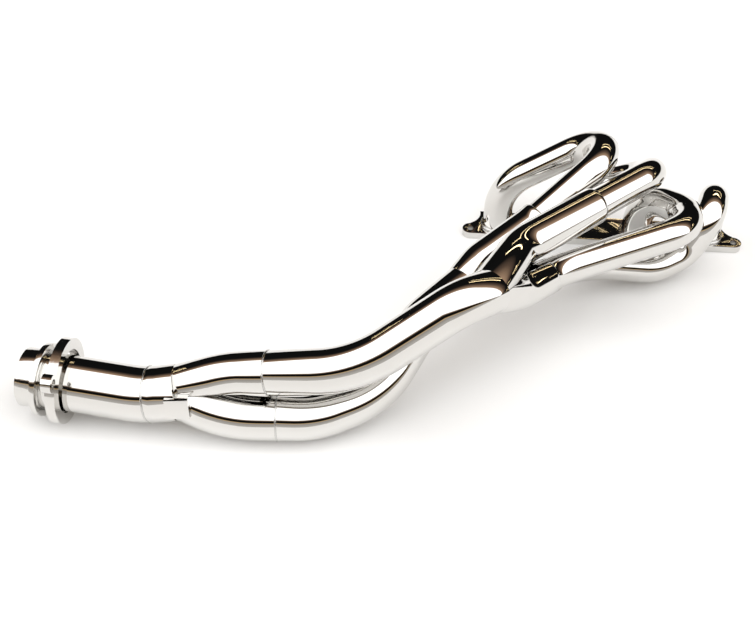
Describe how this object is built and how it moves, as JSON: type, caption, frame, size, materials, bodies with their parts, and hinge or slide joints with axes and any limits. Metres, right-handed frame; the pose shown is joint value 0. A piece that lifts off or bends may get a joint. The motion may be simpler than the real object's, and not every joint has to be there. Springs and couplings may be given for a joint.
{
  "type": "exhaust manifold",
  "caption": "Tubular exhaust header: four bent primary tubes pair into two long secondaries, then one outlet pipe with a loose two-bolt flange.",
  "frame": {"origin": "on the gasket face of the head flange, midway between its two end bolt holes", "axes": "+X runs along the row of ports from port 1 to port 4; +Y points away from the outlet side of the tubes; +Z points out of the engine, up from the floor the header lies on"},
  "size_m": [0.8502, 0.4504, 0.1853],
  "materials": {
    "tube": "mirror chrome on bent steel tube",
    "plate": "chrome on cut steel plate, a little duller than the tube",
    "weld": "chromed weld bead"
  },
  "bodies": {
    "header": {"primary_1": "tube", "primary_2": "tube", "primary_3": "tube", "primary_4": "tube", "merge_leg_1": "tube", "merge_leg_2": "tube", "merge_leg_3": "tube", "merge_leg_4": "tube", "front_secondary_upper": "tube", "rear_secondary_upper": "tube", "front_secondary_lower": "tube", "rear_secondary_lower": "tube", "collector": "tube", "outlet_pipe": "tube", "head_flange": "plate", "outlet_spigot": "plate", "outlet_collar": "plate", "collector_gusset": "plate", "port_weld_1": "weld", "port_weld_2": "weld", "port_weld_3": "weld", "port_weld_4": "weld", "front_seam_weld": "weld", "rear_seam_weld": "weld", "outlet_seam_weld": "weld"},
    "loose_flange": {"outlet_flange": "plate"}
  },
  "joints": [
    {"name": "flange_turn", "type": "hinge", "parent": "header", "child": "loose_flange", "pos_m": [-0.61723, -0.36276, 0.04867], "axis": [-0.9982, 0.0474, 0.0377], "continuous": true}
  ]
}
